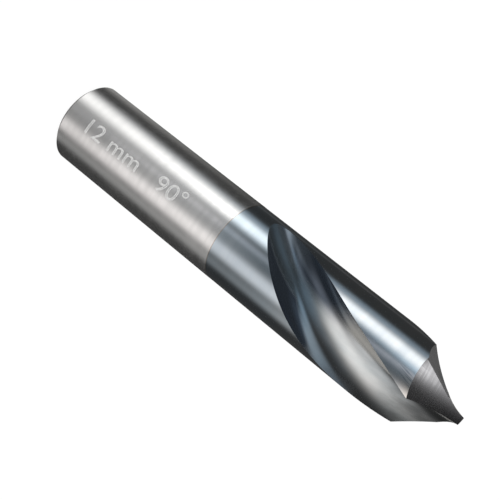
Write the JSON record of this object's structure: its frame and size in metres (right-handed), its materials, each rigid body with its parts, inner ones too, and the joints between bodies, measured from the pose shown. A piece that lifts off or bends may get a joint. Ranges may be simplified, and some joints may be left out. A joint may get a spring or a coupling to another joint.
{
  "type": "chamfer mill",
  "caption": "Solid chamfer mill: a plain round shank and a coated cutting end with helical flutes and a right-angled relieved point, for bevelling edges and spotting holes.",
  "frame": {"origin": "centre of the flat shank end face, on the tool's axis", "axes": "+Z along the tool's axis from the shank end to the point; the cutting lips reach the outer diameter close to +X and -X"},
  "size_m": [0.012, 0.012, 0.07],
  "materials": {
    "ground_carbide": "fine ground and bright on the shank, with a smooth dark blue-grey coating on the fluted half"
  },
  "bodies": {
    "root": {"chamfer_mill": "ground_carbide"}
  },
  "joints": []
}
